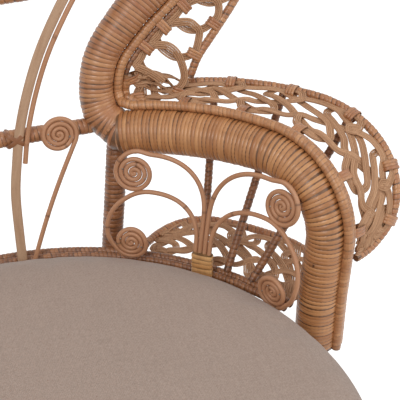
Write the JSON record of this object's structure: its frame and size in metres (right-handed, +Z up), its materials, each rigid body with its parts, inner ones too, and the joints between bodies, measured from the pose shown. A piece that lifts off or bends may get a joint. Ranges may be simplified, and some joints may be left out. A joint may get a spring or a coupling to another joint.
{
  "type": "peacock chair",
  "caption": "Wrapped rattan peacock chair with a round loose cushion, a tall fan back edged in looped reed, and rolled arms with reed shelves and scrollwork.",
  "frame": {"origin": "centre of the footprint of the whole chair, on the floor", "axes": "+Z up, the chair faces -Y, +X is to the right of someone who looks at its front"},
  "size_m": [1.004, 0.7842, 1.4722],
  "materials": {
    "peel": "satin wrapped rattan peel",
    "dark_peel": "satin wrapped rattan peel, darker",
    "cane": "smooth round cane",
    "reed": "matt reed",
    "splat": "matt flat cane",
    "binding": "glossy pale peel",
    "linen": "plain woven cloth"
  },
  "bodies": {
    "chair": {"seat_rail_inner": "dark_peel", "seat_rail_outer": "dark_peel", "seat_deck": "reed", "base_cage_1": "cane", "base_cage_2": "cane", "base_cage_3": "cane", "base_cage_4": "cane", "waist_hoop": "peel", "floor_ring": "dark_peel", "back_roll": "peel", "edge_bead": "peel", "back_rim": "dark_peel", "back_lattice": "reed", "back_lower_rail": "peel", "back_upper_rail": "peel", "sun_arch": "peel", "fan_spoke_1": "cane", "fan_spoke_2": "cane", "fan_spoke_3": "cane", "fan_spoke_4": "cane", "fan_spoke_5": "cane", "rear_post_right": "dark_peel", "arm_roll_right": "peel", "arm_outer_bead_right": "peel", "arm_shelf_rim_right": "dark_peel", "arm_shelf_lattice_right": "reed", "lower_shelf_rim_right": "dark_peel", "lower_shelf_lattice_right": "reed", "arm_collar_right": "binding", "back_splat_right": "splat", "back_slim_cane_right": "cane", "back_scroll_right": "cane", "arm_scroll_upper_rear_right": "cane", "arm_scroll_upper_front_right": "cane", "arm_scroll_lower_rear_right": "cane", "arm_scroll_lower_front_right": "cane", "arm_strut_1_right": "dark_peel", "arm_strut_2_right": "dark_peel", "arm_strut_3_right": "dark_peel", "rear_post_left": "dark_peel", "arm_roll_left": "peel", "arm_outer_bead_left": "peel", "arm_shelf_rim_left": "dark_peel", "arm_shelf_lattice_left": "reed", "lower_shelf_rim_left": "dark_peel", "lower_shelf_lattice_left": "reed", "arm_collar_left": "binding", "back_splat_left": "splat", "back_slim_cane_left": "cane", "back_scroll_left": "cane", "arm_scroll_upper_rear_left": "cane", "arm_scroll_upper_front_left": "cane", "arm_scroll_lower_rear_left": "cane", "arm_scroll_lower_front_left": "cane", "arm_strut_1_left": "dark_peel", "arm_strut_2_left": "dark_peel", "arm_strut_3_left": "dark_peel"},
    "cushion": {"seat_cushion": "linen"}
  },
  "joints": [
    {"name": "cushion_lift", "type": "slide", "parent": "chair", "child": "cushion", "axis": [0, 0, 1], "range_m": [0, 0.25]}
  ]
}
